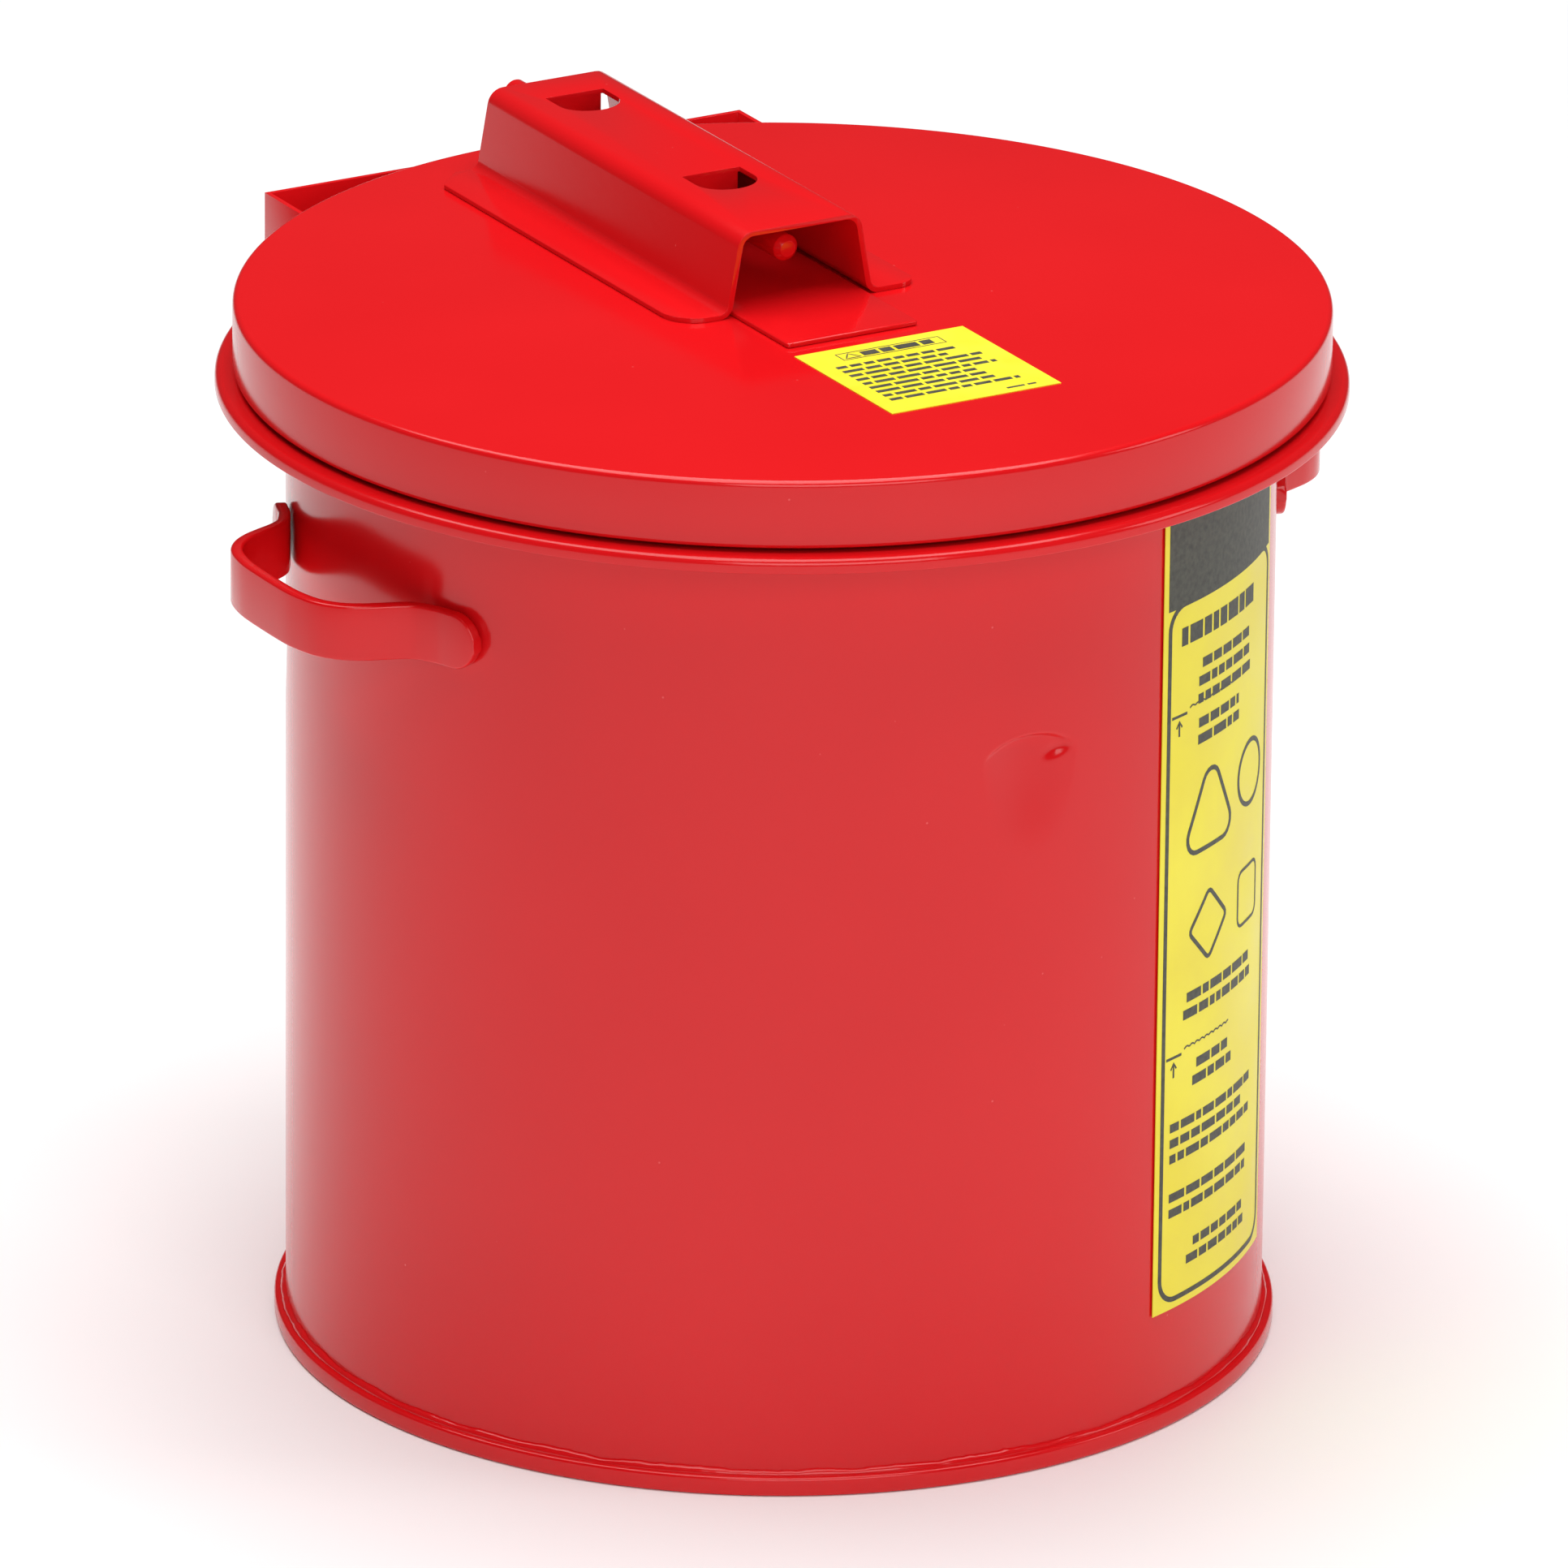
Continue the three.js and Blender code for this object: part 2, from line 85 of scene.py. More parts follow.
CREASE = {"right": 8.2, "up": 2.2, "long": 4.2, "wide": 1.7, "slope": 0.5, "depth": 0.7}
HANDLE = {"thick": 3.0, "gap": 0.5, "crown": 0.09, "corner": 0.7, "foot": (24.0, 22.2, 20.4, 18.7)}
GUIDE_HOLE = {"half": 8, "flat": 7, "round": 7, "rears": (102.5, 35.3)}
GUIDE_TAB = {"half": 7.5, "top": 0.35, "flat": 8.3, "round": 6.6}


# ---------------------------------------------------------------- materials
def srgb(r, g, b):
    """A linear colour from 0-255 display values."""
    def linear(v):
        v /= 255
        return v / 12.92 if v <= 0.04045 else ((v + 0.055) / 1.055) ** 2.4
    return (linear(r), linear(g), linear(b), 1)


class Nodes:
    """A material with a Principled shader, and short calls that add texture nodes to it."""

    def __init__(self, name, roughness, metallic=0.0):
        self.material = bpy.data.materials.new(name)
        self.material.use_nodes = True
        self.tree = self.material.node_tree
        self.shader = self.tree.nodes["Principled BSDF"]
        self.shader.inputs["Roughness"].default_value = roughness
        self.shader.inputs["Metallic"].default_value = metallic
        self.where = self.tree.nodes.new("ShaderNodeTexCoord").outputs["Object"]

    def link(self, out, socket):
        self.tree.links.new(out, socket)

    def noise(self, scale, detail):
        texture = self.tree.nodes.new("ShaderNodeTexNoise")
        texture.inputs["Scale"].default_value = scale
        texture.inputs["Detail"].default_value = detail
        self.link(self.where, texture.inputs["Vector"])
        return texture.outputs["Fac"]

    def specks(self, scale, size):
        """White dots of about that size in the middle of each cell, black elsewhere."""
        cells = self.tree.nodes.new("ShaderNodeTexVoronoi")
        cells.inputs["Scale"].default_value = scale
        self.link(self.where, cells.inputs["Vector"])
        return self.ramp(cells.outputs["Distance"], [(0.0, (1, 1, 1, 1)), (size, (0, 0, 0, 1))])

    def ramp(self, value, stops):
        ramp = self.tree.nodes.new("ShaderNodeValToRGB")
        elements = ramp.color_ramp.elements
        while len(elements) < len(stops):
            elements.new(0.5)
        for element, (position, colour) in zip(elements, stops):
            element.position = position
            element.color = colour
        self.link(value, ramp.inputs["Fac"])
        return ramp.outputs["Color"]

    def mix(self, fac, a, b):
        mix = self.tree.nodes.new("ShaderNodeMix")
        mix.data_type = "RGBA"
        self.link(fac, mix.inputs["Factor"])
        for socket, value in ((mix.inputs["A"], a), (mix.inputs["B"], b)):
            if isinstance(value, tuple):
                socket.default_value = value
            else:
                self.link(value, socket)
        return mix.outputs["Result"]

    def math(self, kind, a, b):
        node = self.tree.nodes.new("ShaderNodeMath")
        node.operation = kind
        for socket, value in zip(node.inputs, (a, b)):
            if isinstance(value, (int, float)):
                socket.default_value = value
            else:
                self.link(value, socket)
        return node.outputs["Value"]

    def colour(self, value):
        self.link(value, self.shader.inputs["Base Color"])

    def roughness(self, value, low, high):
        out = self.ramp(value, [(0.3, (low,) * 3 + (1,)), (0.7, (high,) * 3 + (1,))])
        self.link(out, self.shader.inputs["Roughness"])

    def bump(self, height, strength, distance):
        bump = self.tree.nodes.new("ShaderNodeBump")
        bump.inputs["Strength"].default_value = strength
        bump.inputs["Distance"].default_value = distance
        self.link(height, bump.inputs["Height"])
        self.link(bump.outputs["Normal"], self.shader.inputs["Normal"])


def enamel_material():
    """Glossy red paint on sheet steel: faint orange peel, sparse dust nibs and uneven gloss."""
    m = Nodes("red_enamel", 0.16)
    m.shader.inputs["Specular IOR Level"].default_value = 0.42
    base = m.ramp(m.noise(9, 3), [(0.3, (0.68, 0.005, 0.008, 1)), (0.7, (0.73, 0.007, 0.01, 1))])
    nibs = m.specks(75, 0.026)
    m.colour(m.mix(m.math("MULTIPLY", nibs, 0.6), base, srgb(244, 120, 118)))
    m.roughness(m.noise(6, 2), 0.13, 0.19)
    m.bump(m.math("ADD", m.noise(480, 1), nibs), 0.05, 0.0002)
    return m.material


def metal_material(name, dark, light, low, high, spangle):
    """Bare or plated metal: mottled tone, spangled bump and uneven roughness."""
    m = Nodes(name, low, 1.0)
    m.colour(m.ramp(m.noise(spangle, 4), [(0.3, dark), (0.7, light)]))
    m.roughness(m.noise(spangle * 2.2, 4), low, high)
    m.bump(m.noise(spangle * 5, 3), 0.12, 0.0003)
    return m.material


def label_material():
    """Printed vinyl label: bright yellow with faint unevenness and fine grain."""
    m = Nodes("label_yellow", 0.36)
    m.colour(m.ramp(m.noise(40, 3), [(0.3, srgb(244, 226, 44)), (0.7, srgb(252, 238, 58))]))
    m.roughness(m.noise(80, 3), 0.32, 0.44)
    m.bump(m.noise(900, 2), 0.06, 0.0002)
    return m.material


def ink_material():
    """Dark grey printing ink, a little broken up."""
    m = Nodes("label_ink", 0.5)
    m.colour(m.ramp(m.noise(700, 3), [(0.25, srgb(52, 52, 46)), (0.8, srgb(84, 84, 72))]))
    m.bump(m.noise(1200, 2), 0.05, 0.0001)
    return m.material


ENAMEL = enamel_material()
STEEL = metal_material("bright_steel", (0.34, 0.34, 0.33, 1), (0.5, 0.5, 0.49, 1), 0.24, 0.4, 60)
ZINC = metal_material("galvanised_steel", (0.4, 0.42, 0.44, 1), (0.62, 0.64, 0.66, 1), 0.3, 0.52, 90)
BRASS = metal_material("dull_brass", (0.42, 0.27, 0.09, 1), (0.62, 0.42, 0.16, 1), 0.28, 0.45, 70)
YELLOW = label_material()
INK = ink_material()
LOOKS = {"enamel": ENAMEL, "steel": STEEL, "zinc": ZINC, "brass": BRASS, "label": YELLOW}


# ---------------------------------------------------------------- mesh helpers (millimetres in)
def polar(r, degrees, z):
    a = math.radians(degrees)
    return (r * math.cos(a), r * math.sin(a), z)


def new_object(name, vertices, faces, material, sharp_deg=32):
    """A smoothed mesh object from points in millimetres."""
    mesh = bpy.data.meshes.new(name)
    mesh.from_pydata([Vector(v) * MM for v in vertices], [], faces)
    obj = bpy.data.objects.new(name, mesh)
    bpy.context.scene.collection.objects.link(obj)
    mesh.materials.append(material)
    return smooth(obj, sharp_deg)


def smooth(obj, sharp_deg=32):
    """Weld the mesh, turn its faces outward and shade it smooth, up to that edge angle."""
    bm = bmesh.new()
    bm.from_mesh(obj.data)
    bmesh.ops.remove_doubles(bm, verts=bm.verts, dist=1e-7)
    bmesh.ops.recalc_face_normals(bm, faces=bm.faces)
    for face in bm.faces:
        face.smooth = True
    for edge in bm.edges:
        edge.smooth = len(edge.link_faces) == 2 and edge.calc_face_angle(0) < math.radians(sharp_deg)
    bm.to_mesh(obj.data)
    bm.free()
    return obj


def ship(obj, body, slot, *nodes):
    """Put a piece on its body, in place of the CAD nodes it stands for; the slot is not used."""
    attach(obj, body)
    if nodes:
        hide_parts(*nodes)
    return obj


def rounded(points, closed=True, steps=6):
    """A 2-D outline whose corners (x, y, radius) are turned into arcs."""
    out = []
    count = len(points)
    for i, corner in enumerate(points):
        x, y, r = (*corner, 0)[:3]
        here = Vector((x, y))
        if r <= 0 or (not closed and i in (0, count - 1)):
            out.append(here)
            continue
        before = (Vector(points[i - 1][:2]) - here).normalized()
        after = (Vector(points[(i + 1) % count][:2]) - here).normalized()
        angle = before.angle(after)
        reach = r / math.tan(angle / 2)
        centre = here + (before + after).normalized() * (r / math.sin(angle / 2))
        start = here + before * reach - centre
        end = here + after * reach - centre
        turn = start.angle_signed(end)
        for k in range(steps + 1):
            out.append(centre + Matrix.Rotation(-turn * k / steps, 2) @ start)
    return out


def lathe(name, profile, material, segments=256, sharp_deg=32):
    """Turn an outline of (radius, z) about the Z axis; it may start and end on the axis."""
    rings, vertices, faces = [], [], []
    for r, z in profile:
        if r < 1e-6:
            rings.append([len(vertices)] * segments)
            vertices.append((0, 0, z))
            continue
        first = len(vertices)
        rings.append(list(range(first, first + segments)))
        for k in range(segments):
            a = 2 * math.pi * k / segments
            vertices.append((r * math.cos(a), r * math.sin(a), z))
    on_axis = profile[0][0] < 1e-6
    pairs = list(zip(rings, rings[1:])) + ([] if on_axis else [(rings[-1], rings[0])])
    for low, high in pairs:
        for k in range(segments):
            n = (k + 1) % segments
            quad = list(dict.fromkeys((low[k], low[n], high[n], high[k])))
            if len(quad) > 2:
                faces.append(quad)
    return new_object(name, vertices, faces, material, sharp_deg)


def grid(name, columns, rows, place, material, thickness, wrap=False, sharp_deg=32):
    """A closed sheet between place(column, row, 0) and place(column, row, thickness)."""
    vertices, faces = [], []
    for inset in (0, thickness):
        vertices += [place(c, r, inset) for r in rows for c in columns]
    wide, tall = len(columns), len(rows)
    spans = wide if wrap else wide - 1

    def at(side, r, c):
        return side * wide * tall + r * wide + c % wide

    for side in (0, 1):
        faces += [(at(side, r, c), at(side, r, c + 1), at(side, r + 1, c + 1), at(side, r + 1, c))
                  for r in range(tall - 1) for c in range(spans)]
    for r in (0, tall - 1):
        faces += [(at(0, r, c), at(0, r, c + 1), at(1, r, c + 1), at(1, r, c)) for c in range(spans)]
    if not wrap:
        for c in (0, wide - 1):
            faces += [(at(0, r, c), at(0, r + 1, c), at(1, r + 1, c), at(1, r, c))
                      for r in range(tall - 1)]
    return new_object(name, vertices, faces, material, sharp_deg)


def prism(name, outline, lift, material):
    """A closed prism: outline points go through lift(point, 0) and lift(point, 1)."""
    count = len(outline)
    vertices = [lift(p, end) for end in (0, 1) for p in outline]
    faces = [tuple(range(count)), tuple(range(count, 2 * count))]
    faces += [(i, (i + 1) % count, count + (i + 1) % count, count + i) for i in range(count)]
    return new_object(name, vertices, faces, material)


def bar(name, profile, start, material, segments=48):
    """A turned bar: the outline of (radius, distance) is laid along Y from its start."""
    obj = lathe(name, profile, material, segments)
    obj.data.transform(Matrix.Translation(Vector(start) * MM) @ Matrix.Rotation(-math.pi / 2, 4, "X"))
    return obj


def apply_modifiers(obj):
    """Keep the evaluated mesh and drop the modifiers."""
    deps = bpy.context.evaluated_depsgraph_get()
    mesh = bpy.data.meshes.new_from_object(obj.evaluated_get(deps))
    obj.modifiers.clear()
    obj.data = mesh
    return obj


def boolean(obj, tool, operation):
    """Cut, join or intersect with a tool, which is used up."""
    step = obj.modifiers.new(operation, "BOOLEAN")
    step.operation = operation
    step.solver = "EXACT"
    step.object = tool
    bpy.context.view_layer.update()
    apply_modifiers(obj)
    bpy.data.objects.remove(tool)
    return obj


def bevel(obj, width, segments=2, angle=35):
    """Round the edges over that angle, after merging faces that lie flat together."""
    bm = bmesh.new()
    bm.from_mesh(obj.data)
    bmesh.ops.remove_doubles(bm, verts=bm.verts, dist=2e-6)
    bmesh.ops.dissolve_limit(bm, angle_limit=math.radians(1), verts=bm.verts, edges=bm.edges)
    bm.to_mesh(obj.data)
    bm.free()
    step = obj.modifiers.new("edge", "BEVEL")
    step.width = width * MM
    step.segments = segments
    step.limit_method = "ANGLE"
    step.angle_limit = math.radians(angle)
    bpy.context.view_layer.update()
    apply_modifiers(obj)
    return smooth(obj, 34)


def refined(node, body, slot, width):
    """A copy of a CAD node's shape with softened sheet-metal edges."""
    source = bpy.data.objects[node]
    mesh = source.data.copy()
    mesh.transform(source.matrix_world)
    mesh.materials.clear()
    mesh.materials.append(LOOKS[slot])
    obj = bpy.data.objects.new(node + "_shape", mesh)
    bpy.context.scene.collection.objects.link(obj)
    bevel(obj, width)
    return ship(obj, body, slot, node)


# ---------------------------------------------------------------- tank
def smoothstep(t):
    """An even rise from 0 to 1 that starts and ends flat."""
    t = min(max(t, 0), 1)
    return t * t * (3 - 2 * t)


def dimple_depth(degrees, z):
    """Pressed basket rest: a crisp arched upper step, a shallow floor that fades out below it
    and a deeper crease at its right end."""
    for centre in DIMPLES:
        across = ((degrees - centre + 540) % 360 - 180) * math.radians(1) * TANK_R
        inside = 1 - (across / DIMPLE["half"]) ** 2
        if inside <= 0:
            continue
        below = DIMPLE["z"] + DIMPLE["rise"] * inside ** 0.5 - z
        down = (DIMPLE["z"] + DIMPLE["rise"] - z) / DIMPLE["reach"]
        floor = max(inside - down * down, 0) ** 1.5
        if below <= 0 or floor <= 0:
            continue
        step = smoothstep(below / DIMPLE["step"])
        right, up = across - CREASE["right"], z - DIMPLE["z"] - CREASE["up"]
        crease = math.exp(-((right + up) / CREASE["long"]) ** 2
                          - ((up - CREASE["slope"] * right) / CREASE["wide"]) ** 2)
        return step * (DIMPLE["depth"] * floor + CREASE["depth"] * crease)
    return 0


def tank_wall():
    """Rolled sheet cylinder, with close columns and rows of points where the rests are pressed in."""
    fine, coarse, rest_half = 0.25, 1.2, 7.6
    angles = []
    a = -180.0
    while a < 180:
        angles.append(a)
        near = min(abs((a - d + 540) % 360 - 180) for d in DIMPLES) < rest_half
        a += fine if near else coarse
    below = [20 + 15 * i for i in range(9)]
    lower_rest = [148 + 2 * i for i in range(12)]
    upper_rest = [172 + 0.5 * i for i in range(36)]
    rows = [WALL_LOW[2], *below, *lower_rest, *upper_rest, 195, 210, 225, WALL_HIGH[2]]

    def place(angle, z, inset):
        return polar(TANK_R - inset - dimple_depth(angle, z), angle, z)

    wall = grid("wall_sheet", angles, rows, place, ENAMEL, WALL_T, wrap=True, sharp_deg=60)
    ship(wall, "tank", "enamel", "tank_wall")


def tank_base():
    """Recessed floor with the folded seam that grips the wall."""
    seam_r, floor = PAN_HIGH[0], PAN_HIGH[2]
    groove = TANK_R - WALL_T - GAP
    outline = rounded([
        (0, floor - WALL_T), (groove - SHEET, floor - WALL_T, 1.5), (groove - SHEET, 0, 0.6),
        (seam_r, 0, 1.0), (seam_r, SEAM_TOP, 0.9), (TANK_R + GAP, SEAM_TOP, 0.2), (TANK_R + GAP, SHEET),
        (groove, SHEET), (groove, floor, 0.8), (0, floor)], closed=False, steps=4)
    ship(lathe("folded_base", outline, ENAMEL), "tank", "enamel", "bottom_pan")


def seam_sealant():
    """Uneven bead of sealant in the corner between the wall and the folded seam."""
    count = 480
    step = 360 / count
    wander = [random.uniform(-0.35, 0.35) for _ in range(count)]
    swells = [sum(wander[(i + k) % count] for k in range(-2, 3)) / 2.2 for i in range(count)]

    def bead(angle, t, inset):
        swell = swells[int(round(angle / step)) % count]
        a = t * math.pi / 2
        r = TANK_R - 0.05 if inset else TANK_R + 0.02 + (1.25 + 0.5 * swell) * math.sin(a)
        z = SEAM_TOP - 0.1 + (1.35 + swell) * math.cos(a)
        return polar(r, angle, z)

    angles = [i * step for i in range(count)]
    seal = grid("seam_sealant", angles, [i / 6 for i in range(7)], bead, ENAMEL, 1, wrap=True)
    ship(seal, "tank", "enamel")


def rim_flange():
    """Flat ring round the top of the wall, with a turned-down edge."""
    top, lip = FLANGE_HIGH[2], FLANGE_LOW[2]
    inner = TANK_R - WALL_T
    outline = rounded([
        (inner, top - RIM_SHEET), (FLANGE_R - RIM_SHEET, top - RIM_SHEET, 0.9),
        (FLANGE_R - RIM_SHEET, lip, 0.3), (FLANGE_R, lip, 0.3), (FLANGE_R, top, 1.8), (inner, top, 0.3)],
        steps=6)
    ship(lathe("rim_ring", outline, ENAMEL), "tank", "enamel", "rim_flange")


def rim_weld():
    """Small hollow fillet under the flange."""
    r, corner, top = 1.3, TANK_R + 0.01, FLANGE_HIGH[2] - RIM_SHEET - 0.02
    fillet = [(corner + r * (1 - math.cos(a)), top - r * (1 - math.sin(a)))
              for a in [i * math.pi / 12 for i in range(7)]]
    ship(lathe("rim_weld", [*fillet, (corner, top)], ENAMEL), "tank", "enamel")


def smooth_line(knots, steps=6):
    """A Catmull-Rom line through the knots."""
    line = []
    for i in range(len(knots) - 1):
        p = [Vector(knots[min(max(i + k, 0), len(knots) - 1)]) for k in (-1, 0, 1, 2)]
        for t in [s / steps for s in range(steps)]:
            line.append(0.5 * (2 * p[1] + (p[2] - p[0]) * t
                               + (2 * p[0] - 5 * p[1] + 4 * p[2] - p[3]) * t * t
                               + (3 * p[1] - p[0] - 3 * p[2] + p[3]) * t ** 3))
    return line + [Vector(knots[-1])]


def handle_plan(reach):
    """The strap's middle line seen from above: foot on the wall, two bends and the bow, then back."""
    foot_r = TANK_R + HANDLE["gap"] + HANDLE["thick"] / 2
    bow = reach - HANDLE["thick"] / 2 - HANDLE["crown"]
    foot = [polar(foot_r, a, 0)[:2] for a in HANDLE["foot"]]
    bend = [(116.5, 35.5), (118.5, 32.9), (121.7, 31.0), (125.7, 29.5), (130.2, 27.6), (134.3, 24.7),
            (bow - 2.4, 20.4), (bow - 0.7, 14.5), (bow, 7.5)]
    half = foot + bend
    return half + [(x, -y) for x, y in reversed(half)]


def strap_handle(name, node, turn):
    """Bent strap with rounded feet: a rounded section swept along the plan line."""
    low, high = node_mm(node)
    thick = HANDLE["thick"]
    half_high = (high[2] - low[2]) / 2
    middle = (high[2] + low[2]) / 2
    line = smooth_line(handle_plan(max(abs(low[0]), abs(high[0]))))
    lengths = [0.0]
    for a, b in zip(line, line[1:]):
        lengths.append(lengths[-1] + (b - a).length)
    vertices, faces, rings = [], [], []
    for i, here in enumerate(line):
        ahead = line[min(i + 1, len(line) - 1)] - line[max(i - 1, 0)]
        normal = Vector((ahead.y, -ahead.x)).normalized()
        from_end = max(min(lengths[i], lengths[-1] - lengths[i]), 0.25)
        tall = half_high
        if from_end < half_high:
            tall = (half_high ** 2 - (half_high - from_end) ** 2) ** 0.5
        corner = min(HANDLE["corner"], tall * 0.6)
        ring = []
        box = [(-thick / 2, -tall), (thick / 2, -tall), (thick / 2, tall), (-thick / 2, tall)]
        for x, z in rounded([(x, z, corner) for x, z in box], steps=3):
            ring.append(len(vertices))
            vertices.append((here.x + normal.x * x, here.y + normal.y * x, middle + z))
        rings.append(ring)
    size = len(rings[0])
    for a, b in zip(rings, rings[1:]):
        faces += [(a[k], a[(k + 1) % size], b[(k + 1) % size], b[k]) for k in range(size)]
    faces += [tuple(rings[0]), tuple(reversed(rings[-1]))]
    obj = new_object(name, vertices, faces, ENAMEL, 50)
    obj.data.transform(Matrix.Rotation(turn, 4, "Z"))
    ship(obj, "tank", "enamel", node)


# ---------------------------------------------------------------- labels
def on_body(u, v, lift):
    """A point of the body label: u across from its left edge, v up, lift out from its back."""
    angle = math.radians(LABEL_FROM) + u / LABEL_R
    return ((LABEL_R + lift) * math.cos(angle), (LABEL_R + lift) * math.sin(angle), v)


def plate(name, place, corners, step=4.0):
    """A thin printed patch between two corners, bent to the surface that place() gives."""
    (u0, v0), (u1, v1) = corners
    count = max(1, int(abs(u1 - u0) / step))
    columns = [u0 + (u1 - u0) * i / count for i in range(count + 1)]
    return grid(name, columns, [v0, v1], lambda u, v, inset: place(u, v, LABEL_T + PRINT_T - inset),
                INK, PRINT_T)


def ribbon(name, place, points, width, closed=True):
    """A printed line of even width along points on the label."""
    line = [Vector(p) for p in points]
    count = len(line)
    vertices, faces = [], []
    for i, here in enumerate(line):
        before = line[i - 1] if closed or i else here
        after = line[(i + 1) % count] if closed or i < count - 1 else here
        along = (after - before).normalized()
        side = Vector((-along.y, along.x)) * width / 2
        for lift in (LABEL_T, LABEL_T + PRINT_T):
            for sign in (-1, 1):
                p = here + side * sign
                vertices.append(place(p.x, p.y, lift))
    spans = count if closed else count - 1
    for i in range(spans):
        a, b = 4 * i, 4 * ((i + 1) % count)
        faces += [(a, a + 1, b + 1, b), (a + 2, b + 2, b + 3, a + 3),
                  (a, b, b + 2, a + 2), (a + 1, a + 3, b + 3, b + 1)]
    if not closed:
        last = 4 * (count - 1)
        faces += [(0, 2, 3, 1), (last, last + 1, last + 3, last + 2)]
    return new_object(name, vertices, faces, INK)


def circle(x, y, r, steps=40):
    """The points of a circle, as (x, y) pairs."""
    return [(x + r * math.cos(2 * math.pi * k / steps), y + r * math.sin(2 * math.pi * k / steps))
            for k in range(steps)]


def dense(points, step=2.0):
    """The same closed outline with extra points, so that it bends with the surface."""
    out = []
    for a, b in zip(points, list(points[1:]) + [points[0]]):
        a, b = Vector(a), Vector(b)
        count = max(1, int((b - a).length / step))
        out += [a.lerp(b, k / count) for k in range(count)]
    return out


def bars(place, left, right, top, rows, pitch, height, centre=False):
    """Plain broken bars that stand for lines of print."""
    made = []
    for row in range(rows):
        v = top - row * pitch
        u = left
        limit = right - random.uniform(0, (right - left) * 0.25)
        if centre:
            u = left + (right - limit) / 2
            limit = right - (right - limit) / 2
        while u < limit - 1:
            length = min(random.uniform(2.2, 6.5), limit - u)
            made.append(plate("print", place, ((u, v - height), (u + length, v)), 3))
            u += length + 0.9
    return made


def join_all(name, objects):
    """One object of printing ink made of many."""
    bm = bmesh.new()
    for obj in objects:
        bm.from_mesh(obj.data)
    mesh = bpy.data.meshes.new(name)
    bm.to_mesh(mesh)
    bm.free()
    for obj in objects:
        bpy.data.objects.remove(obj)
    joined = bpy.data.objects.new(name, mesh)
    bpy.context.scene.collection.objects.link(joined)
    mesh.materials.append(INK)
    return joined


def body_label():
    """Tall yellow label on the wall: frame line, level marks, blank signs and bars for print."""
    width = math.radians(LABEL_TO - LABEL_FROM) * LABEL_R
    low, high = 29.0, 235.0
    sheet = grid("body_label_sheet", [width * i / 24 for i in range(25)], [low, high],
                 lambda u, v, inset: on_body(u, v, LABEL_T - inset), YELLOW, LABEL_T)
    ship(sheet, "tank", "label", "body_label")
    ink = []
    edge = rounded([(2.4, low + 2.4, 6), (width - 2.4, low + 2.4, 6), (width - 2.4, 209, 6),
                    (2.4, 209, 6)], steps=8)
    ink.append(ribbon("frame_line", on_body, dense(edge), 1.3))
    ink.append(plate("header", on_body, ((1.7, 211), (width - 1.7, high - 2))))
    ink.append(plate("header_foot", on_body, ((1.7, 208.4), (width - 1.7, 211))))
    ink += bars(on_body, 7, width - 8, 203, 1, 8, 4.6)
    ink += bars(on_body, 12, width - 14, 193, 3, 4.4, 2.4, centre=True)
    for level in (181, 94):
        ink.append(plate("level", on_body, ((3.6, level - 0.35), (9.6, level + 0.35))))
        ink.append(plate("stem", on_body, ((6.2, level - 5.2), (6.8, level - 1.8))))
        head = [(5.4, level - 3.0), (6.5, level - 1.4), (7.6, level - 3.0)]
        ink.append(ribbon("arrow", on_body, head, 0.5, closed=False))
        wave = [(10.8 + 0.5 * k, level + 0.9 + 0.5 * abs(math.sin(k * 0.7))) for k in range(44)]
        ink.append(ribbon("wave", on_body, wave, 0.4, closed=False))
        ink += bars(on_body, 14, 36, level - 3, 2, 4.2, 2.4, centre=True)
    corner = 4
    triangle = rounded([(8, 144, corner), (34, 144, corner), (21, 168, corner)], steps=6)
    ink.append(ribbon("triangle", on_body, dense(triangle), 1.2))
    ink.append(ribbon("ring", on_body, circle(44, 155, 8), 1.2))
    diamond = rounded([(12, 124, 1.5), (21, 115, 1.5), (30, 124, 1.5), (21, 133, 1.5)], steps=3)
    ink.append(ribbon("diamond", on_body, dense(diamond), 1.1))
    plaque = rounded([(37, 117, 2.5), (50, 117, 2.5), (50, 131, 2.5), (37, 131, 2.5)], steps=4)
    ink.append(ribbon("plaque", on_body, dense(plaque), 0.8))
    ink += bars(on_body, 9, width - 12, 109, 2, 4.2, 2.4, centre=True)
    ink += bars(on_body, 5.5, width - 8, 77, 3, 4.0, 2.2)
    ink += bars(on_body, 5.5, width - 8, 59, 2, 4.0, 2.2)
    ink += bars(on_body, 12, width - 12, 45, 2, 4.0, 2.2, centre=True)
    ship(join_all("body_label_print", ink), "tank", "label")


def lid_label():
    """Square yellow label on the lid, with bars for print."""
    low, high = node_mm("lid_label")
    base = LID_TOP + 0.02

    def place(u, v, lift):
        return (low[0] + u, low[1] + v, base + lift)

    width, depth = high[0] - low[0], high[1] - low[1]
    sheet = grid("lid_label_sheet", [0, width], [0, depth],
                 lambda u, v, inset: place(u, v, LABEL_T - inset), YELLOW, LABEL_T)
    ship(sheet, "lid", "label", "lid_label")
    ink = [ribbon("title_box", place, dense([(9, 38), (37, 38), (37, 42.4), (9, 42.4)]), 0.25)]
    ink += bars(place, 15, 40, 41.6, 1, 4, 2.8)
    sign = [(10, 38.8), (14, 38.8), (12, 41.8)]
    ink.append(ribbon("sign", place, dense(sign, 1), 0.35))
    ink += bars(place, 4.5, 41, 34.6, 9, 3.15, 1.5)
    ink += bars(place, 33, 43, 3.2, 1, 2, 0.8)
    ship(join_all("lid_label_print", ink), "lid", "label")


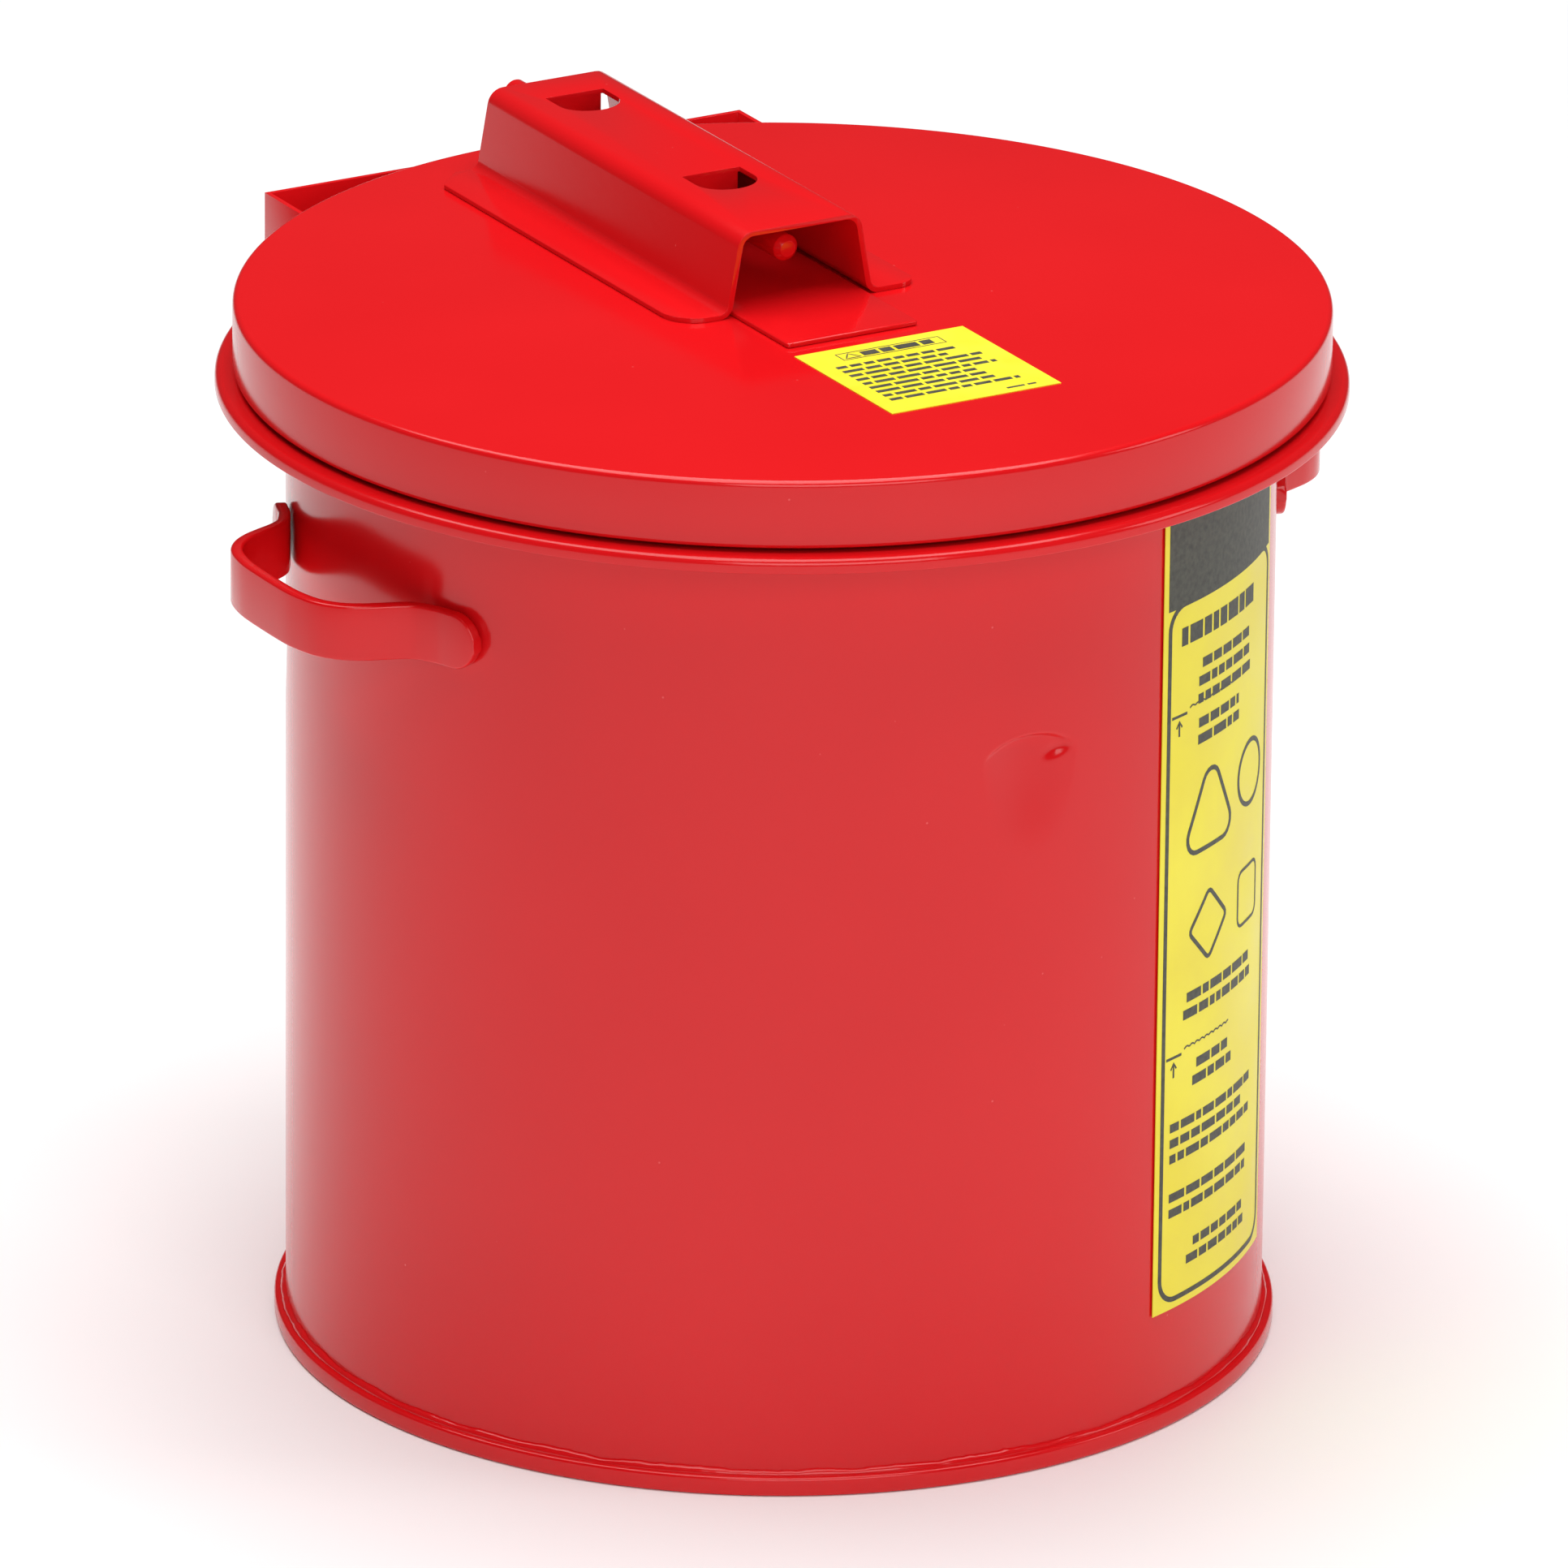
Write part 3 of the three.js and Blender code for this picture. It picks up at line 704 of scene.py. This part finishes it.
# ---------------------------------------------------------------- lid
def lid_cover():
    """Flat top with a rounded edge, a skirt and an inward hem."""
    bottom = LID_LOW[2]
    inner = LID_R - RIM_SHEET
    outline = rounded([
        (0, LID_TOP - RIM_SHEET), (inner, LID_TOP - RIM_SHEET, 0.5), (inner, bottom + 3.0, 0.3),
        (inner - 1.4, bottom + 2.4, 0.5), (inner - 1.4, bottom + 0.4, 0.8), (inner, bottom, 0.3),
        (LID_R, bottom, 1.2), (LID_R, LID_TOP, 1.5), (0, LID_TOP)], closed=False, steps=6)
    ship(lathe("lid_pan", outline, ENAMEL), "lid", "enamel", "lid_cover")


def half_ellipse(half_wide, base, rise, steps=20):
    """The points of a half ellipse below the line at base, from its right end to its left end."""
    return [Vector((half_wide * math.cos(a), base - rise * math.sin(a)))
            for a in [math.pi * k / steps for k in range(steps + 1)]]


def channel_bar(front, rear, top, flange):
    """Hat section with leaning webs, drawn along Y."""
    foot = LID_TOP + LID_GAP
    base, crown = 20.0, 16.5
    lean = (base - crown) / (top - foot - SHEET)
    slant = SHEET * (1 + lean * lean) ** 0.5
    outer = [(flange, foot + SHEET, 0.25), (base, foot + SHEET, 2.4), (crown, top, 4.2)]
    inner = [(crown - slant, top - SHEET, 3.0), (base - slant, foot, 3.6), (flange, foot, 0.25)]
    outline = outer + [(-x, z, r) for x, z, r in reversed(outer)]
    outline += [(-x, z, r) for x, z, r in reversed(inner)] + inner
    return prism("channel_sheet", rounded(outline, steps=6),
                 lambda p, end: (p.x, rear if end else front, p.y), ENAMEL)


def lid_channel():
    """Lid channel: a hat-section bar with rounded corners and two lanced tabs that guide the rod."""
    front, rear, top, flange = CHANNEL_LOW[1], CHANNEL_HIGH[1], CHANNEL_HIGH[2], CHANNEL_HIGH[0]
    obj = channel_bar(front, rear, top, flange)
    chamfer, past = 7, 0.01
    plan = rounded([(-flange - past, front - past, 9), (flange + past, front - past, 5),
                    (flange + past, rear - chamfer), (flange - chamfer, rear + past),
                    (chamfer - flange, rear + past), (-flange - past, rear - chamfer)], steps=8)
    boolean(obj, prism("cutter", plan, lambda p, end: (p.x, p.y, top + 5 if end else LID_TOP - 5), ENAMEL),
            "INTERSECT")
    hole_half, tab_half, tab_top = GUIDE_HOLE["half"], GUIDE_TAB["half"], top - GUIDE_TAB["top"]
    for edge in GUIDE_HOLE["rears"]:
        hole = [Vector((-hole_half, edge)), Vector((hole_half, edge))]
        hole += half_ellipse(hole_half, edge - GUIDE_HOLE["flat"], GUIDE_HOLE["round"])
        boolean(obj, prism("cutter", hole, lambda p, end: (p.x, p.y, top + 2 if end else top - 4), ENAMEL),
                "DIFFERENCE")
        tab = [Vector((-tab_half, tab_top)), Vector((tab_half, tab_top))]
        tab += half_ellipse(tab_half, top - GUIDE_TAB["flat"], GUIDE_TAB["round"])
        boolean(obj, prism("cutter", tab, lambda p, end: (p.x, edge + SHEET * end, p.y), ENAMEL), "UNION")
        way_r = ROD_R + GAP
        way = bar("cutter", [(0, 0), (way_r, 0), (way_r, 6), (0, 6)], (0, edge - 3, ROD_Z), ENAMEL)
        boolean(obj, way, "DIFFERENCE")
    bevel(obj, 0.3, 3, 40)
    ship(obj, "lid", "enamel", "lid_channel")


def lid_strap():
    """Stiffening plate under the channel."""
    low, high = node_mm("lid_strap")
    plan = rounded([(low[0], low[1], 0.8), (high[0], low[1], 0.8), (high[0], high[1], 0.8),
                    (low[0], high[1], 0.8)], steps=3)
    base = LID_TOP + LID_GAP
    obj = prism("strap_plate", plan, lambda p, end: (p.x, p.y, base + SHEET * end), ENAMEL)
    bevel(obj, 0.35, 3)
    ship(obj, "lid", "enamel", "lid_strap")


# ---------------------------------------------------------------- rod
def rod_half(name, node, low, high, tip_at_low):
    """Half of the lid rod, with a chamfered tip at one end."""
    length = high[1] - low[1]
    chamfer = 1.3
    outline = [(0, 0), (ROD_R - chamfer, 0, 0.2), (ROD_R, chamfer, 0.3), (ROD_R, length, 0.1), (0, length)]
    if not tip_at_low:
        outline = [(r[0], length - r[1], *r[2:]) for r in reversed(outline)]
    obj = bar(name, rounded(outline, closed=False, steps=3), (0, low[1], ROD_Z), ENAMEL)
    ship(obj, "rod", "enamel", node)


def fusible_sleeve():
    """Sleeve that joins the rod halves, with a groove round its middle."""
    r = SLEEVE_HIGH[0]
    length = SLEEVE_HIGH[1] - SLEEVE_LOW[1]
    middle = length / 2
    bore = ROD_R + 0.02
    outline = rounded([(bore, 0), (r, 0, 0.6), (r, middle - 2, 0.3), (r - 0.7, middle - 1.2, 0.3),
                       (r - 0.7, middle + 1.2, 0.3), (r, middle + 2, 0.3), (r, length, 0.6),
                       (bore, length)], steps=3)
    obj = bar("sleeve", outline, (0, SLEEVE_LOW[1], ROD_Z), BRASS)
    ship(obj, "rod", "brass", "fusible_sleeve")


# ---------------------------------------------------------------- basket
def perforated_floor(radius, z):
    """A flat disc with rows of round drain holes; drain_basket gives it a sheet thickness afterwards."""
    bm = bmesh.new()

    def ring(x, y, r, steps):
        made = [bm.verts.new(Vector((x + r * math.cos(2 * math.pi * k / steps),
                                     y + r * math.sin(2 * math.pi * k / steps), z)) * MM)
                for k in range(steps)]
        return [bm.edges.new((made[k], made[(k + 1) % steps])) for k in range(steps)]

    edges = ring(0, 0, radius, 128)
    pitch, hole, margin = 12.0, 2.6, 8
    for row in range(-8, 9):
        y = row * pitch * 0.866
        for col in range(-9, 10):
            x = (col + (row % 2) / 2) * pitch
            if math.hypot(x, y) < radius - margin:
                edges += ring(x, y, hole, 14)
    bmesh.ops.triangle_fill(bm, use_beauty=True, use_dissolve=False, edges=edges)
    mesh = bpy.data.meshes.new("basket_floor")
    bm.to_mesh(mesh)
    bm.free()
    obj = bpy.data.objects.new("basket_floor", mesh)
    bpy.context.scene.collection.objects.link(obj)
    mesh.materials.append(ZINC)
    return obj


def perforated_wall(radius, low, high):
    """A cylinder of square cells between plain bands, each cell with an eight-sided round hole."""
    columns, rows, hole = 84, 6, 2.4
    low_band, high_band = 3, 9
    vertices, faces = [], []
    holed = high - low - low_band - high_band
    bands = [low + low_band + holed * i / rows for i in range(rows + 1)]
    step = 360 / columns

    def point(angle, z):
        vertices.append(polar(radius, angle, z))
        return len(vertices) - 1

    for c in range(columns):
        for lo, hi in ((low, bands[0]), (bands[-1], high)):
            corners = [(c, lo), (c + 0.5, lo), (c + 1, lo), (c + 1, hi), (c + 0.5, hi), (c, hi)]
            faces.append([point(k * step, z) for k, z in corners])
        for lo, hi in zip(bands, bands[1:]):
            mid = (lo + hi) / 2
            outer = [(c, lo), (c + 0.5, lo), (c + 1, lo), (c + 1, mid), (c + 1, hi), (c + 0.5, hi),
                     (c, hi), (c, mid)]
            inner = []
            for k in range(8):
                a = math.radians(225 + 45 * k)
                inner.append(((c + 0.5) * step + math.degrees(hole * math.cos(a) / radius),
                              mid + hole * math.sin(a)))
            rim = [point(k * step, z) for k, z in outer]
            ring = [point(k, z) for k, z in inner]
            faces += [(rim[k], rim[(k + 1) % 8], ring[(k + 1) % 8], ring[k]) for k in range(8)]
    return new_object("basket_wall", vertices, faces, ZINC, 40)


def drain_basket():
    """Perforated sheet basket: wall, floor and the rounded corner between them."""
    r, floor, rim = BASKET_HIGH[0], BASKET_LOW[2], BASKET_HIGH[2]
    corner = 3
    wall = perforated_wall(r - WALL_T / 2, floor + corner, rim)
    bottom = perforated_floor(r - corner, floor + WALL_T / 2)
    for obj in (wall, bottom):
        step = obj.modifiers.new("sheet", "SOLIDIFY")
        step.thickness = WALL_T * MM
        step.offset = 0
        bpy.context.view_layer.update()
        smooth(apply_modifiers(obj), 40)
    bend = rounded([(r - corner, floor), (r, floor, corner), (r, floor + corner)], closed=False, steps=6)
    bend += rounded([(r - WALL_T, floor + corner), (r - WALL_T, floor + WALL_T, corner - WALL_T),
                     (r - corner, floor + WALL_T)], closed=False, steps=6)
    ship(wall, "basket", "zinc", "drain_basket")
    ship(bottom, "basket", "zinc")
    ship(lathe("basket_corner", bend, ZINC, 168), "basket", "zinc")


def basket_rim():
    """Round wire along the top of the basket."""
    low, high = node_mm("basket_rim")
    wire, sides = (high[2] - low[2]) / 2, 16
    centre = high[0] - wire
    section = [(centre + wire * math.cos(2 * math.pi * k / sides),
                low[2] + wire + wire * math.sin(2 * math.pi * k / sides)) for k in range(sides)]
    ship(lathe("basket_wire_rim", section, ZINC, 192, 60), "basket", "zinc", "basket_rim")


def bail_wire():
    """Round wire arch between the ears, swept through a smooth line."""
    low, high = node_mm("bail_handle")
    z = (low[2] + high[2]) / 2
    r = (high[2] - low[2]) / 2
    half, rise = 99.0, 58.0
    tip, turn = 108, 103
    points = [Vector((-tip, 0, z)), Vector((-turn, 0, z))]
    points += [Vector((half * math.cos(a), rise * math.sin(a), z))
               for a in [math.pi + math.pi * (i + 0.6) / 15.2 for i in range(15)]]
    points += [Vector((turn, 0, z)), Vector((tip, 0, z))]
    curve = bpy.data.curves.new("bail_line", "CURVE")
    curve.dimensions = "3D"
    curve.bevel_depth = r * MM
    curve.bevel_resolution = 5
    curve.use_fill_caps = True
    line = curve.splines.new("BEZIER")
    line.bezier_points.add(len(points) - 1)
    for knot, p in zip(line.bezier_points, points):
        knot.co = p * MM
        knot.handle_left_type = knot.handle_right_type = "AUTO"
    obj = bpy.data.objects.new("bail_wire", curve)
    bpy.context.scene.collection.objects.link(obj)
    bpy.context.view_layer.update()
    deps = bpy.context.evaluated_depsgraph_get()
    mesh = bpy.data.meshes.new_from_object(obj.evaluated_get(deps))
    bpy.data.objects.remove(obj)
    wire = bpy.data.objects.new("bail_wire", mesh)
    bpy.context.scene.collection.objects.link(wire)
    mesh.materials.clear()
    mesh.materials.append(STEEL)
    ship(smooth(wire, 50), "bail", "steel", "bail_handle")


# ---------------------------------------------------------------- build the object
tank_wall()
tank_base()
seam_sealant()
rim_flange()
rim_weld()
strap_handle("right_handle_strap", "handle_right", 0)
strap_handle("left_handle_strap", "handle_left", math.pi)
body_label()
lid_cover()
lid_channel()
lid_strap()
lid_label()
rod_half("rod_front_bar", "slide_rod_front", ROD_FRONT_LOW, ROD_FRONT_HIGH, True)
rod_half("rod_rear_bar", "slide_rod_rear", ROD_REAR_LOW, ROD_REAR_HIGH, False)
fusible_sleeve()
drain_basket()
basket_rim()
bail_wire()
for node, body, slot, width in (
        ("hinge_bracket", "tank", "enamel", 0.45), ("hinge_leaf", "lid", "enamel", 0.2),
        ("hinge_pin", "tank", "steel", 0.25), ("bail_ear_left", "basket", "zinc", 0.3),
        ("bail_ear_right", "basket", "zinc", 0.3)):
    refined(node, body, slot, width)
for i in (1, 2, 3):
    refined(f"basket_lug_{i}", "basket", "zinc", 0.3)
    refined(f"basket_foot_{i}", "basket", "zinc", 0.4)
for i in (1, 2, 3, 4):
    refined(f"ear_rivet_{i}", "basket", "steel", 0.4)


# ---------------------------------------------------------------- stage, light and camera
def stage_floor():
    """Plain pale floor, with its half width in metres."""
    size = 6.0
    mesh = bpy.data.meshes.new("floor")
    mesh.from_pydata([(-size, -size, 0), (size, -size, 0), (size, size, 0), (-size, size, 0)], [],
                     [(0, 1, 2, 3)])
    floor = bpy.data.objects.new("floor", mesh)
    bpy.context.scene.collection.objects.link(floor)
    m = Nodes("floor_pale", 0.9)
    m.colour(m.ramp(m.noise(3, 2), [(0.3, (0.94, 0.94, 0.94, 1)), (0.7, (0.96, 0.96, 0.96, 1))]))
    mesh.materials.append(m.material)


def area_light(name, place, size, power, target=(0, 0, 0.15)):
    """A soft rectangular lamp at a place, turned towards its target (metres, watts)."""
    data = bpy.data.lights.new(name, "AREA")
    data.shape = "RECTANGLE"
    data.size, data.size_y = size
    data.energy = power
    light = bpy.data.objects.new(name, data)
    bpy.context.scene.collection.objects.link(light)
    light.location = place
    light.rotation_euler = (Vector(target) - Vector(place)).to_track_quat("-Z", "Y").to_euler()


def studio_camera():
    """Long-lens camera from the front left, a little above the lid."""
    azimuth, elevation = math.radians(-120), math.radians(20.622)
    distance, roll = 4.578, math.radians(0.538)
    target = Vector((0, 0, 0.1356))
    away = Vector((math.cos(elevation) * math.cos(azimuth), math.cos(elevation) * math.sin(azimuth),
                   math.sin(elevation)))
    data = bpy.data.cameras.new("studio_camera")
    data.sensor_width = 36
    data.lens = 435.07
    data.shift_x = 0.003616
    data.clip_end = 50
    camera = bpy.data.objects.new("studio_camera", data)
    bpy.context.scene.collection.objects.link(camera)
    camera.location = target + away * distance
    turn = (-away).to_track_quat("-Z", "Y").to_matrix().to_4x4() @ Matrix.Rotation(roll, 4, "Z")
    camera.rotation_euler = turn.to_euler()
    bpy.context.scene.camera = camera


def studio_world():
    """Weak even fill from all sides."""
    world = bpy.data.worlds.new("studio")
    world.use_nodes = True
    background = world.node_tree.nodes["Background"]
    background.inputs["Color"].default_value = (1, 1, 1, 1)
    background.inputs["Strength"].default_value = 0.06
    bpy.context.scene.world = world
    bpy.context.scene.view_settings.view_transform = "Standard"


stage_floor()
area_light("overhead", (0.0, 0.25, 2.5), (2.6, 2.8), 90, target=(0, 0.15, 0))
area_light("front", (-1.0, -2.95, 1.6), (2.4, 1.6), 40)
area_light("right_side", (2.2, -1.6, 1.2), (0.9, 1.2), 9)
studio_camera()
studio_world()
